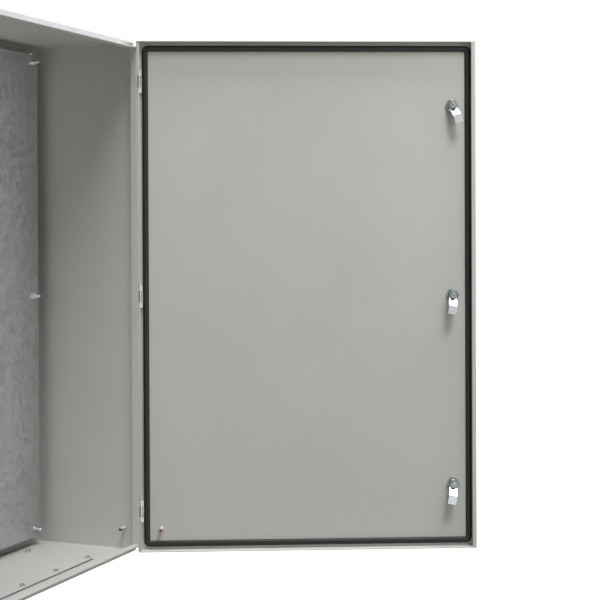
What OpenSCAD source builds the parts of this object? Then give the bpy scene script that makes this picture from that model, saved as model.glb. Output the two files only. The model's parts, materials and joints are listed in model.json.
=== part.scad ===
// Steel wall enclosure: a folded and welded body with a channelled front rim, a pan-shaped door
// on three concealed hinges, a foamed door seal, three quarter-turn cam locks, a mounting plate
// and a gland plate in the floor.
// x runs to the hinge side, -y out of the front and z up. The origin is the middle of the four
// wall holes, on the back face.

/* [Enclosure] */
// Width over the side walls
enclosure_w = 800; // [660:10:1000]
// Height over the top and bottom walls
enclosure_h = 1200; // [900:10:1600]
// Depth from the wall to the front of the closed door
enclosure_d = 300; // [240:5:400]

/* [Sheet metal] */
// Thickness of the body sheet
body_t = 1.5; // [1:0.1:2]
// Thickness of the door sheet
door_t = 2; // [1.5:0.1:2.4]

/* [Front rim] */
// Width of the step from the outer wall to the rim
step_w = 14; // [11:0.5:18]
// Width of the same step along the hinge side, where the door's edge swings in
hinge_step_w = 18; // [17:0.5:22]
// How far the rim stands in front of the step
rim_h = 20; // [16:0.5:25]
// Width of the rim's front face
rim_w = 5; // [4:0.5:6.5]
// Length of the rim's inner leg, back from its front face
rim_leg = 17; // [12:0.5:20]

/* [Door] */
// Angle at which the door stands open
door_open = 115; // [0:1:130]
// Gap between the body's step and the door's top, bottom and lock-side folds
fold_gap = 4; // [3:0.1:6]
// Gap between the body's step and the door's hinge-side fold
hinge_fold_gap = 6.7; // [5:0.1:9]
// Width of the lip along the door's free edge, measured from its outside
lip_w = 10; // [5:0.5:10]
// Width of the same lip along the hinge-side edge
hinge_lip_w = 7.5; // [5:0.5:10]
// Distance from the door's edge to the seal
seal_margin = 8.5; // [7:0.5:10]
// Distance from the door's hinge-side edge to the seal
hinge_seal_margin = 12.5; // [11.8:0.1:14]
// Width of the seal
seal_w = 14; // [12:0.5:15]
// Height of the seal
seal_h = 6.5; // [5:0.5:8]
// Outer corner radius of the seal
seal_corner_r = 14; // [4:0.5:16]
// Play between the seal and the rim
seal_gap = 0.3; // [0.2:0.1:0.6]

/* [Hinges] */
// Distance from the door's edge to the hinge axis
hinge_inset = 6; // [5.4:0.1:6.4]
// Distance from the end of the door to the outer hinges
hinge_end_inset = 95; // [70:5:200]
// Height of the door leaf
leaf_h = 52; // [44:1:70]
// Height of the body leaf's knuckle
knuckle_h = 26; // [18:1:30]
// Diameter of the hinge pin
pin_d = 5; // [4:0.1:5.4]
// Radial play of the pin in the body leaf
pin_play = 0.06; // [0.02:0.01:0.09]
// Radial play of the pin in the door leaf
pin_fit = 0.02; // [0.01:0.01:0.05]
// Thickness of the leaf plates
leaf_t = 3; // [2:0.1:3.2]

/* [Locks] */
// Distance from the door's free edge to the lock axes
lock_inset = 53; // [45:1:64]
// Distance from the end of the door to the outer locks
lock_end_inset = 150; // [130:5:250]
// Lean of the top cam from hanging, towards the free edge, in degrees
cam_lean_top = 18; // [-12:1:90]
// Lean of the middle cam
cam_lean_middle = -7; // [-12:1:90]
// Lean of the bottom cam
cam_lean_bottom = -10.5; // [-12:0.5:90]
// Diameter of the lock housing's sleeve
sleeve_d = 20; // [18:0.5:22]
// Length of the sleeve inside the door
sleeve_l = 12; // [8:0.5:13]
// Diameter of the turning insert
insert_d = 14; // [12:0.5:15]
// Radial play of the insert in the housing
insert_play = 0.08; // [0.03:0.01:0.1]
// Width of the lock nut across its flats
lock_nut_af = 27; // [26:1:30]
// Thickness of the lock nut
lock_nut_t = 5; // [4:0.5:6]
// Width of the cam
cam_w = 20; // [16:1:24]
// Thickness of the cam
cam_t = 3; // [2:0.5:4]

/* [Earth studs] */
// Diameter of the earth studs
earth_d = 8; // [6:1:10]
// Length of the earth studs
earth_l = 22; // [16:1:30]
// Distance of both earth studs from the end of the enclosure
earth_end_inset = 51; // [45:1:80]
// Distance of the door's earth stud from the hinge-side edge
earth_door_inset = 53; // [40:1:90]
// Distance of the body's earth stud behind the step
earth_body_inset = 31; // [20:1:60]

/* [Mounting plate] */
// Thickness of the mounting plate
plate_t = 3; // [2:0.5:4]
// Distance from the body's side to the mounting plate
plate_margin_x = 30.5; // [28:0.5:60]
// Distance from the body's top and bottom to the mounting plate
plate_margin_z = 22.5; // [20:0.5:60]
// Height of the shoulder that holds the plate off the back panel
plate_standoff = 20; // [10:1:40]
// Distance from the plate's edge to its studs
plate_stud_inset = 17.5; // [12:0.5:30]
// Diameter of the plate studs
plate_stud_d = 8; // [6:1:10]

/* [Wall holes] */
// Diameter of the four holes for the wall screws
wall_hole_d = 9; // [7:0.5:12]
// Distance from the body's sides and ends to the wall holes
wall_hole_inset = 20; // [16:1:26]

/* [Gland plate] */
// Width of the opening in the floor
gland_open_w = 520; // [300:10:560]
// Depth of the opening in the floor
gland_open_d = 140; // [100:5:160]
// Distance from the wall to the middle of the opening
gland_centre = 135; // [110:1:150]
// Width of the plate's edge around the opening
gland_edge = 20; // [16:1:24]
// Thickness of the gland plate
gland_t = 2; // [1.5:0.1:3]
// Thickness of the gland plate's seal
gland_seal_t = 2; // [1:0.5:3]

/* [Hidden] */
$fn = 64;

PAINT = [0.80, 0.81, 0.79];
ZINC = [0.68, 0.70, 0.72];
COPPER = [0.72, 0.42, 0.24];
FOAM = [0.10, 0.10, 0.10];

half_w = enclosure_w / 2;
half_h = enclosure_h / 2;
// Heights in front of the wall: the seal's front, the door sheet's inner face and the step
door_in = enclosure_d - door_t;
step_at = door_in - seal_h - seal_gap - rim_h;
rim_at = step_at + rim_h;
TOP = 0;
MIDDLE = 1;
BOTTOM = 2;

// The hinge axis: as far out as the fold's edge allows when it swings past the rim
swing_gap = 0.5;
swing_r = hinge_step_w - hinge_inset - swing_gap;
hinge_x = half_w - hinge_inset;
hinge_at = step_at + hinge_fold_gap + sqrt(pow(swing_r, 2) - pow(hinge_inset, 2));
hinge_z = [half_h - hinge_end_inset, 0, hinge_end_inset - half_h];
leaf_gap = 0.3;
knuckle_r = hinge_inset - door_t - leaf_gap;
notch_gap = 1.5;
notch_depth = 7.2;
base_t = 2.5;

// The locks, with distances measured inwards from the door sheet's inner face
lock_x = lock_inset - half_w;
lock_z = [half_h - lock_end_inset, 0, lock_end_inset - half_h];
cam_lean = [cam_lean_top, cam_lean_middle, cam_lean_bottom];
lock_washer_t = 1;
flange_t = 3;
flange_d = 27;
flange_front = -(door_t + lock_washer_t + flange_t);
head_d = 16;
head_seat = 3.4;
head_gap = 0.1;
shoulder_gap = 0.6;
cam_level = sleeve_l + shoulder_gap;
cam_hook_gap = 0.7;
cam_tip_level = door_in - (step_at - body_t - cam_hook_gap);
cam_wall_gap = 6.5;
cam_l = lock_inset - body_t - cam_wall_gap;
cam_bend_start = 10;
cam_bend_end = 26;
cam_square = 8;
cam_screw_d = 6;
cam_washer_t = 1.5;
cam_washer_d = 17;
square_play = 0.1;

// Plain bores stand in for threads, this much wider than what they hold
thread_play = 0.1;
plate_back = body_t + plate_standoff;
plate_stud_x = half_w - plate_margin_x - plate_stud_inset;
plate_stud_z = half_h - plate_margin_z - plate_stud_inset;
hole_play = 0.5;
gland_w = gland_open_w + 2 * gland_edge;
gland_d = gland_open_d + 2 * gland_edge;
gland_screw_d = 6;
gland_columns = 5;
gland_corner_r = 4;
hinge_screw_d = 5;
hinge_screw_z = 18;

// A box between two corners, where v is the distance in front of the wall
module slab(x0, x1, v0, v1, z0, z1) {
    translate([x0, -v1, z0])
        cube([x1 - x0, v1 - v0, z1 - z0]);
}

// A rounded rectangle around the origin
module rounded_rect(w, h, r) {
    square([w - 2 * r, h], center = true);
    square([w, h - 2 * r], center = true);
    for (x = [-1, 1], y = [-1, 1])
        translate([x * (w / 2 - r), y * (h / 2 - r)])
            circle(r);
}

// Puts a part that was drawn on the closed door where the open door holds it
module on_door() {
    translate([hinge_x, -hinge_at, 0])
        rotate([0, 0, door_open])
            translate([-hinge_x, hinge_at, 0])
                children();
}

// The axis of lock i, with z inwards from the door sheet's inner face and y down
module on_lock(i) {
    on_door()
        translate([lock_x, -door_in, lock_z[i]])
            rotate([-90, 0, 0])
                children();
}

// The same axis, turned with its cam: y points along the cam
module on_cam(i) {
    on_lock(i)
        rotate([0, 0, cam_lean[i]])
            children();
}

// A screw's round hole or shank along y, between two distances in front of the wall
module bar_out(d, v0, v1) {
    translate([0, -v0, 0])
        rotate([90, 0, 0])
            cylinder(d = d, h = v1 - v0);
}

// One wall of the body, with its outer face at z = half: the outer sheet, the step at the front,
// and the rim that stands in front of the step. Its ends are mitred to meet walls with the
// step widths right_step and left_step.
module wall_band(length, half, step, right_step, left_step) {
    leg = step + rim_w;
    outline = [
        [0, body_t], [0, step_at], [step, step_at], [step, rim_at], [leg, rim_at],
        [leg, rim_at - rim_leg], [leg - body_t, rim_at - rim_leg],
        [leg - body_t, rim_at - body_t], [step + body_t, rim_at - body_t],
        [step + body_t, step_at - body_t], [body_t, step_at - body_t], [body_t, body_t],
    ];
    end = length / 2;
    intersection() {
        rotate([90, 0, 90])
            linear_extrude(height = length, center = true)
                polygon([for (p = outline) [-p[1], half - p[0]]]);
        rotate([90, 0, 0])
            linear_extrude(height = enclosure_d)
                polygon([
                    [-end, half], [end, half], [end - body_t, half - body_t],
                    [end - right_step, half - step],
                    [end - right_step - rim_w, half - leg],
                    [-end + left_step + rim_w, half - leg],
                    [-end + left_step, half - step],
                    [-end + body_t, half - body_t],
                ]);
    }
}

module hinge_side_wall() {
    color(PAINT)
        difference() {
            rotate([0, 90, 0])
                wall_band(enclosure_h, half_w, hinge_step_w, step_w, step_w);
            each_hinge_screw()
                bar_out(hinge_screw_d + hole_play, step_at - 2 * body_t, step_at + body_t);
        }
}

module lock_side_wall() {
    color(PAINT)
        rotate([0, -90, 0])
            wall_band(enclosure_h, half_w, step_w, step_w, step_w);
}

module top_wall() {
    color(PAINT)
        wall_band(enclosure_w, half_h, step_w, hinge_step_w, step_w);
}

module bottom_wall() {
    color(PAINT)
        difference() {
            mirror([0, 0, 1])
                wall_band(enclosure_w, half_h, step_w, hinge_step_w, step_w);
            translate([0, -gland_centre, -half_h])
                cube([gland_open_w, gland_open_d, 4 * body_t], center = true);
            each_gland_screw()
                cylinder(d = gland_screw_d + hole_play, h = 4 * body_t, center = true);
        }
}

module back_panel() {
    color(PAINT)
        difference() {
            slab(-half_w, half_w, 0, body_t, -half_h, half_h);
            for (x = [-1, 1], z = [-1, 1])
                translate([x * (half_w - wall_hole_inset), 0, z * (half_h - wall_hole_inset)])
                    bar_out(wall_hole_d, -body_t, 2 * body_t);
        }
}

// The six stud places behind the mounting plate
module each_plate_stud() {
    for (x = [-1, 1], z = [-1, 0, 1])
        translate([x * plate_stud_x, 0, z * plate_stud_z])
            children();
}

module mounting_plate() {
    plate_x = half_w - plate_margin_x;
    plate_z = half_h - plate_margin_z;
    color(ZINC)
        difference() {
            slab(-plate_x, plate_x, plate_back, plate_back + plate_t, -plate_z, plate_z);
            each_plate_stud()
                bar_out(plate_stud_d + 2 * hole_play, plate_back - plate_t, plate_back + 2 * plate_t);
        }
}

// Studs welded to the back panel, each with a shoulder that the plate sits on
module plate_studs() {
    shoulder_d = 16;
    thread_l = 16;
    color(ZINC)
        each_plate_stud() {
            bar_out(shoulder_d, body_t, plate_back);
            bar_out(plate_stud_d, plate_back, plate_back + plate_t + thread_l);
        }
}

// Flange nuts that hold the mounting plate
module plate_nuts() {
    nut_af = 13;
    nut_h = 8;
    nut_flange_d = 18;
    nut_flange_h = 1.5;
    nut_back = plate_back + plate_t;
    color(ZINC)
        each_plate_stud()
            difference() {
                union() {
                    bar_out(nut_flange_d, nut_back, nut_back + nut_flange_h);
                    translate([0, -nut_back, 0])
                        rotate([90, 0, 0])
                            cylinder(d = nut_af / cos(30), h = nut_h, $fn = 6);
                }
                bar_out(plate_stud_d + thread_play, nut_back - plate_t, nut_back + 2 * nut_h);
            }
}

// The gland plate's screw places, on the floor's outer face
module each_gland_screw() {
    span = gland_open_w + gland_edge;
    for (i = [0 : gland_columns - 1], v = [-1, 1])
        translate([
            -span / 2 + i * span / (gland_columns - 1),
            -gland_centre + v * (gland_open_d + gland_edge) / 2,
            -half_h,
        ])
            children();
}

module gland_plate() {
    color(PAINT)
        difference() {
            translate([0, -gland_centre, -half_h + body_t + gland_seal_t])
                linear_extrude(height = gland_t)
                    rounded_rect(gland_w, gland_d, gland_corner_r);
            each_gland_screw()
                cylinder(d = gland_screw_d + hole_play, h = 10 * gland_t);
        }
}

module gland_seal() {
    color(FOAM)
        difference() {
            translate([0, -gland_centre, -half_h + body_t])
                linear_extrude(height = gland_seal_t)
                    difference() {
                        rounded_rect(gland_w, gland_d, gland_corner_r);
                        square([gland_open_w, gland_open_d], center = true);
                    }
            each_gland_screw()
                cylinder(d = gland_screw_d + hole_play, h = 10 * gland_t);
        }
}

module gland_screws() {
    grip = body_t + gland_seal_t + gland_t;
    end_gap = 0.2;
    collar_d = 12;
    collar_h = 1;
    head_af = 10;
    head_h = 4;
    color(ZINC)
        each_gland_screw() {
            translate([0, 0, end_gap])
                cylinder(d = gland_screw_d, h = grip);
            translate([0, 0, grip])
                cylinder(d = collar_d, h = collar_h);
            translate([0, 0, grip + collar_h])
                cylinder(d = head_af / cos(30), h = head_h, $fn = 6);
        }
}

// A threaded stud with its weld collar, standing up along z
module earth_stud() {
    collar_w = 1.5;
    collar_h = 1.5;
    bevel = 1;
    color(COPPER) {
        cylinder(d = earth_d + 2 * collar_w, h = collar_h);
        cylinder(d = earth_d, h = earth_l - bevel);
        translate([0, 0, earth_l - bevel])
            cylinder(d1 = earth_d, d2 = earth_d - 2 * bevel, h = bevel);
    }
}

module body_earth_stud() {
    translate([half_w - body_t, -(step_at - earth_body_inset), earth_end_inset - half_h])
        rotate([0, -90, 0])
            earth_stud();
}

module door_earth_stud() {
    on_door()
        translate([half_w - earth_door_inset, -door_in, earth_end_inset - half_h])
            rotate([-90, 0, 0])
                earth_stud();
}

// The screw places of the three body leaves, in the middle of the hinge-side step
module each_hinge_screw() {
    for (i = [TOP, MIDDLE, BOTTOM], z = [-1, 1])
        translate([half_w - hinge_step_w / 2, 0, hinge_z[i] + z * hinge_screw_z])
            children();
}

// Screws from inside the body, through the step into the body leaves
module hinge_screws() {
    head_w = 9;
    head_h = 3;
    end_gap = 0.2;
    color(ZINC)
        each_hinge_screw() {
            bar_out(head_w, step_at - body_t - head_h, step_at - body_t);
            bar_out(hinge_screw_d, step_at - body_t, step_at + leaf_t - end_gap);
        }
}

// The body leaf: a foot on the step and an arm to the knuckle on the hinge axis
module hinge_body_leaf(i) {
    foot_margin = 1;
    foot_h = 48;
    color(ZINC)
        translate([0, 0, hinge_z[i]])
            difference() {
                union() {
                    slab(half_w - hinge_step_w + foot_margin, half_w - foot_margin,
                        step_at, step_at + leaf_t, -foot_h / 2, foot_h / 2);
                    slab(hinge_x - leaf_t / 2, hinge_x + leaf_t / 2,
                        step_at, hinge_at, -knuckle_h / 2, knuckle_h / 2);
                    translate([hinge_x, -hinge_at, 0])
                        cylinder(r = knuckle_r, h = knuckle_h, center = true);
                }
                translate([hinge_x, -hinge_at, 0])
                    cylinder(r = pin_d / 2 + pin_play, h = leaf_h, center = true);
                for (z = [-1, 1])
                    translate([half_w - hinge_step_w / 2, 0, z * hinge_screw_z])
                        bar_out(hinge_screw_d + thread_play, step_at - leaf_t, step_at + 2 * leaf_t);
            }
}

// The door leaf: a base on the door sheet and a square lug at each end that holds the pin
module hinge_door_leaf(i) {
    lug_gap = 0.3;
    lug_z = knuckle_h / 2 + lug_gap;
    leaf_x = half_w - hinge_seal_margin + lug_gap;
    color(ZINC)
        on_door()
            translate([0, 0, hinge_z[i]])
                difference() {
                    union() {
                        slab(leaf_x, hinge_x + knuckle_r,
                            door_in - base_t, door_in, -leaf_h / 2, leaf_h / 2);
                        for (side = [0, 1])
                            mirror([0, 0, side])
                                slab(leaf_x, hinge_x + knuckle_r,
                                    hinge_at - knuckle_r, door_in, lug_z, leaf_h / 2);
                    }
                    translate([hinge_x, -hinge_at, 0])
                        cylinder(r = pin_d / 2 + pin_fit, h = 2 * leaf_h, center = true);
                }
}

module hinge_pin(i) {
    pin_l = leaf_h + 3;
    tip = 0.6;
    color(ZINC)
        on_door()
            translate([hinge_x, -hinge_at, hinge_z[i] - pin_l / 2]) {
                cylinder(d1 = pin_d - 2 * tip, d2 = pin_d, h = tip);
                translate([0, 0, tip])
                    cylinder(d = pin_d, h = pin_l - 2 * tip);
                translate([0, 0, pin_l - tip])
                    cylinder(d1 = pin_d, d2 = pin_d - 2 * tip, h = tip);
            }
}

// The door: a sheet with four folds towards the body. The two upright folds end in a lip that
// turns inwards, and the hinge-side fold and its lip are notched at the hinges.
module door_panel() {
    fold_edge = step_at + fold_gap;
    hinge_fold_edge = step_at + hinge_fold_gap;
    in_x = half_w - door_t;
    in_z = half_h - door_t;
    color(PAINT)
        difference() {
            on_door()
                difference() {
                    slab(-half_w, half_w, fold_edge, enclosure_d, -half_h, half_h);
                    slab(-in_x, 0, fold_edge + door_t, door_in, -in_z, in_z);
                    slab(-door_t, in_x, hinge_fold_edge + door_t, door_in, -in_z, in_z);
                    slab(-half_w + lip_w, half_w - hinge_lip_w, fold_edge - door_t, door_in, -in_z, in_z);
                    slab(half_w - hinge_lip_w - door_t, half_w + door_t, fold_edge - door_t,
                        hinge_fold_edge, -in_z, in_z);
                    for (i = [TOP, MIDDLE, BOTTOM])
                        translate([0, 0, hinge_z[i]]) {
                            slab(in_x - door_t, half_w + door_t, fold_edge, hinge_at + notch_depth,
                                -knuckle_h / 2 - notch_gap, knuckle_h / 2 + notch_gap);
                            slab(half_w - hinge_lip_w - door_t, in_x, fold_edge, hinge_at,
                                -leaf_h / 2 - notch_gap, leaf_h / 2 + notch_gap);
                        }
                }
            for (i = [TOP, MIDDLE, BOTTOM])
                on_lock(i)
                    cylinder(d = sleeve_d + 2 * hole_play, h = 4 * door_t, center = true);
        }
}

module door_seal() {
    seal_x0 = -half_w + seal_margin;
    seal_x1 = half_w - hinge_seal_margin;
    seal_wide = seal_x1 - seal_x0;
    seal_high = enclosure_h - 2 * seal_margin;
    color(FOAM)
        on_door()
            translate([(seal_x0 + seal_x1) / 2, -door_in + seal_h, 0])
                rotate([90, 0, 0])
                    linear_extrude(height = seal_h)
                        difference() {
                            rounded_rect(seal_wide, seal_high, seal_corner_r);
                            square([seal_wide - 2 * seal_w, seal_high - 2 * seal_w], center = true);
                        }
}

// The housing: a flange outside the door and a threaded sleeve through it
module lock_housing(i) {
    bevel = 1;
    color(ZINC)
        on_lock(i)
            difference() {
                union() {
                    translate([0, 0, flange_front])
                        cylinder(d1 = flange_d - 2 * bevel, d2 = flange_d, h = bevel);
                    translate([0, 0, flange_front + bevel])
                        cylinder(d = flange_d, h = flange_t - bevel);
                    translate([0, 0, flange_front + bevel])
                        cylinder(d = sleeve_d, h = sleeve_l - flange_front - bevel);
                }
                translate([0, 0, flange_front - 1])
                    cylinder(r = insert_d / 2 + insert_play, h = sleeve_l - flange_front + 2);
                translate([0, 0, flange_front - 1])
                    cylinder(r = head_d / 2 + insert_play, h = head_seat + 1);
            }
}

module lock_washer(i) {
    rim = 0.5;
    color(FOAM)
        on_lock(i)
            translate([0, 0, -door_t - lock_washer_t])
                difference() {
                    cylinder(d = flange_d - 2 * rim, h = lock_washer_t);
                    translate([0, 0, -1])
                        cylinder(d = sleeve_d + thread_play, h = lock_washer_t + 2);
                }
}

module lock_nut(i) {
    color(ZINC)
        on_lock(i)
            difference() {
                cylinder(d = lock_nut_af / cos(30), h = lock_nut_t, $fn = 6);
                translate([0, 0, -1])
                    cylinder(d = sleeve_d + thread_play, h = lock_nut_t + 2);
            }
}

// The insert: a head with a double-bit key post in a well, a round barrel and a square end
module lock_insert(i) {
    sunk = 0.2;
    front = flange_front + sunk;
    well_d = 11.5;
    well_l = 7;
    post_d = 5;
    bit_w = 2.6;
    bit_span = 8.5;
    bit_l = 5.5;
    square_l = cam_t - sunk;
    tapped_l = 10;
    color(ZINC)
        on_cam(i)
            difference() {
                union() {
                    difference() {
                        union() {
                            translate([0, 0, front])
                                cylinder(d = head_d, h = flange_front + head_seat - head_gap - front);
                            translate([0, 0, front])
                                cylinder(d = insert_d, h = cam_level - front);
                        }
                        translate([0, 0, front - 1])
                            cylinder(d = well_d, h = well_l + 1);
                    }
                    translate([0, 0, front + well_l - bit_l]) {
                        cylinder(d = post_d, h = bit_l);
                        translate([-bit_span / 2, -bit_w / 2, 0])
                            cube([bit_span, bit_w, bit_l]);
                    }
                    translate([-cam_square / 2, -cam_square / 2, cam_level - 1])
                        cube([cam_square, cam_square, square_l + 1]);
                }
                translate([0, 0, cam_level - tapped_l])
                    cylinder(d = cam_screw_d, h = 2 * tapped_l);
            }
}

// The cam: a hub on the insert, a bend away from the door, and a flat end that hooks behind
// the body's step
module lock_cam(i) {
    across = cam_w / 2;
    corner_r = 3;
    slope = atan2(cam_tip_level - cam_level, cam_bend_end - cam_bend_start);
    back = cam_t * tan(slope / 2);
    profile = [
        [-across, cam_level], [cam_bend_start, cam_level], [cam_bend_end, cam_tip_level],
        [cam_l, cam_tip_level], [cam_l, cam_tip_level + cam_t],
        [cam_bend_end - back, cam_tip_level + cam_t], [cam_bend_start - back, cam_level + cam_t],
        [-across, cam_level + cam_t],
    ];
    hole = cam_square / 2 + square_play;
    color(ZINC)
        on_cam(i)
            difference() {
                intersection() {
                    rotate([90, 0, 90])
                        linear_extrude(height = cam_w, center = true)
                            polygon(profile);
                    linear_extrude(height = 2 * cam_tip_level) {
                        circle(across);
                        translate([-across, 0])
                            square([cam_w, cam_l - corner_r]);
                        translate([-across + corner_r, 0])
                            square([cam_w - 2 * corner_r, cam_l]);
                        for (x = [-1, 1])
                            translate([x * (across - corner_r), cam_l - corner_r])
                                circle(corner_r);
                    }
                }
                translate([-hole, -hole, 0])
                    cube([2 * hole, 2 * hole, cam_tip_level]);
            }
}

module cam_washer(i) {
    bore_play = 0.15;
    color(ZINC)
        on_cam(i)
            translate([0, 0, cam_level + cam_t])
                difference() {
                    cylinder(d = cam_washer_d, h = cam_washer_t);
                    translate([0, 0, -1])
                        cylinder(d = cam_screw_d + 2 * bore_play, h = cam_washer_t + 2);
                }
}

// The screw that holds the cam on the insert, with a hexagon socket in its head
module cam_screw(i) {
    seat = cam_level + cam_t + cam_washer_t;
    head_w = 11;
    head_h = 3.6;
    bevel = 0.8;
    shank_l = 12;
    socket_af = 4;
    socket_floor = 1.2;
    color(ZINC)
        on_cam(i)
            translate([0, 0, seat])
                difference() {
                    union() {
                        cylinder(d = head_w, h = head_h - bevel);
                        translate([0, 0, head_h - bevel])
                            cylinder(d1 = head_w, d2 = head_w - 2 * bevel, h = bevel);
                        translate([0, 0, -shank_l])
                            cylinder(d = cam_screw_d - thread_play, h = shank_l + 1);
                    }
                    translate([0, 0, socket_floor])
                        cylinder(d = socket_af / cos(30), h = head_h, $fn = 6);
                }
}

hinge_side_wall();
lock_side_wall();
top_wall();
bottom_wall();
back_panel();
mounting_plate();
plate_studs();
plate_nuts();
gland_plate();
gland_seal();
gland_screws();
body_earth_stud();
hinge_body_leaf(TOP);  // hinge_body_leaf_top
hinge_body_leaf(MIDDLE);  // hinge_body_leaf_middle
hinge_body_leaf(BOTTOM);  // hinge_body_leaf_bottom
hinge_screws();
hinge_door_leaf(TOP);  // hinge_door_leaf_top
hinge_door_leaf(MIDDLE);  // hinge_door_leaf_middle
hinge_door_leaf(BOTTOM);  // hinge_door_leaf_bottom
hinge_pin(TOP);  // hinge_pin_top
hinge_pin(MIDDLE);  // hinge_pin_middle
hinge_pin(BOTTOM);  // hinge_pin_bottom
door_panel();
door_seal();
door_earth_stud();
lock_housing(TOP);  // lock_housing_top
lock_housing(MIDDLE);  // lock_housing_middle
lock_housing(BOTTOM);  // lock_housing_bottom
lock_washer(TOP);  // lock_washer_top
lock_washer(MIDDLE);  // lock_washer_middle
lock_washer(BOTTOM);  // lock_washer_bottom
lock_nut(TOP);  // lock_nut_top
lock_nut(MIDDLE);  // lock_nut_middle
lock_nut(BOTTOM);  // lock_nut_bottom
lock_insert(TOP);  // lock_insert_top
lock_insert(MIDDLE);  // lock_insert_middle
lock_insert(BOTTOM);  // lock_insert_bottom
lock_cam(TOP);  // lock_cam_top
lock_cam(MIDDLE);  // lock_cam_middle
lock_cam(BOTTOM);  // lock_cam_bottom
cam_washer(TOP);  // cam_washer_top
cam_washer(MIDDLE);  // cam_washer_middle
cam_washer(BOTTOM);  // cam_washer_bottom
cam_screw(TOP);  // cam_screw_top
cam_screw(MIDDLE);  // cam_screw_middle
cam_screw(BOTTOM);  // cam_screw_bottom
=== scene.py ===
"""The looks of the steel wall enclosure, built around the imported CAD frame.

Lengths in the mesh code are millimetres and turn into metres when a mesh is made. The body is
drawn with x to the hinge side, y = -v where v is the distance in front of the wall, and z up.
Door pieces are drawn on the closed door, and DOOR swings them to where the open door holds them.
"""
import json
import math

import bmesh
import bpy
from mathutils import Matrix, Vector

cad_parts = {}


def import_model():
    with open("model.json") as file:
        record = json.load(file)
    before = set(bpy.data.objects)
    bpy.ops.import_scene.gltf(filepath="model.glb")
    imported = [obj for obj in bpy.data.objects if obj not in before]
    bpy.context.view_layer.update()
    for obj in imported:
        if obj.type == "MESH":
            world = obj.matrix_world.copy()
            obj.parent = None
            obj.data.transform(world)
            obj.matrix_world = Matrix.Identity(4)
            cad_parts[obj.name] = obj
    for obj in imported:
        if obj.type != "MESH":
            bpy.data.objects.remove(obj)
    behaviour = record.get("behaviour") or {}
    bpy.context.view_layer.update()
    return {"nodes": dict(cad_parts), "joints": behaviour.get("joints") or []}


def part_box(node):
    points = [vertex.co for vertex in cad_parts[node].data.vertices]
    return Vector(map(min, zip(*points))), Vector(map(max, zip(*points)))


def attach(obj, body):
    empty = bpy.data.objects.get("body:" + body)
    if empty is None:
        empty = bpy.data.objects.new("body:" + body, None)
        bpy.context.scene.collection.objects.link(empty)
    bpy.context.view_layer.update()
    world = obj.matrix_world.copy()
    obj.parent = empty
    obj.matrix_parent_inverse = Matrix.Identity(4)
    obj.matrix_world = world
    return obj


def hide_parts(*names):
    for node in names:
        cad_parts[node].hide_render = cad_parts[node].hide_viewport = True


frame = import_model()

MM = 0.001
joints = {joint["name"]: joint for joint in frame["joints"]}


# ---------------------------------------------------------------- sizes from the frame

def extent(node):
    """A node's lowest and highest corners in millimetres."""
    low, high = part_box(node)
    return low / MM, high / MM


hinge_pos = Vector(joints["door_hinge"]["pos_m"])
door_open = math.radians(-joints["door_hinge"]["range_deg"][0])
DOOR = Matrix.Translation(hinge_pos) @ Matrix.Rotation(door_open, 4, "Z") @ Matrix.Translation(-hinge_pos)

HALF_W = extent("hinge_side_wall")[1].x
HALF_H = extent("top_wall")[1].z
RIM_AT = -extent("hinge_side_wall")[0].y
HINGE_AT = -hinge_pos.y / MM
PLACES = ("top", "middle", "bottom")
HINGE_Z = {place: sum(corner.z for corner in extent("hinge_pin_" + place)) / 2 for place in PLACES}

# Sheet metal, as on the CAD body and door
BODY_T = 1.5
DOOR_T = 2.0
RIM_H = 20.0
RIM_W = 5.0
RIM_LEG = 17.0
STEP_W = 14.0
HINGE_STEP_W = 18.0
STEP_AT = RIM_AT - RIM_H
DOOR_FRONT = 300.0
DOOR_IN = DOOR_FRONT - DOOR_T
FOLD_EDGE = STEP_AT + 4.0
HINGE_FOLD_EDGE = STEP_AT + 6.7
LIP_W = 10.0
HINGE_LIP_W = 7.5

# Holes, locks, hinge leaves, studs and screws
WALL_HOLE_INSET = 20.0
WALL_HOLE_R = 4.5
GLAND_HALF_W = 260.0
GLAND_FROM_WALL = (65.0, 205.0)
GLAND_SCREW_PITCH = 135.0
GLAND_SCREW_ROWS = (55.0, 215.0)
GLAND_SCREW_HOLE_R = 3.25
GLAND_SCREW_SEAT = 5.5
LEAF_H = 52.0
HINGE_SCREW_OFFSET = 18.0
HINGE_SCREW_HOLE_R = 2.75
LOCK_INSET = 53.0
LOCK_END_INSET = 150.0
LOCK_HOLE_R = 10.5
SEAL_MARGIN = 8.5
HINGE_SEAL_MARGIN = 12.5
PLATE_STUD_X = 352.0
PLATE_STUD_Z = 560.0
PLATE_NUT_AT = 24.5
EARTH_STUD_Z = -549.0
BODY_STUD_DEPTH = 31.0
DOOR_STUD_INSET = 53.0

GLAND_SCREWS = [((i - 2) * GLAND_SCREW_PITCH, v) for i in range(5) for v in GLAND_SCREW_ROWS]
HINGE_SCREW_X = HALF_W - HINGE_STEP_W / 2
HINGE_SCREW_Z = [HINGE_Z[place] + side * HINGE_SCREW_OFFSET for place in PLACES for side in (-1, 1)]


# ---------------------------------------------------------------- mesh tools

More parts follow.
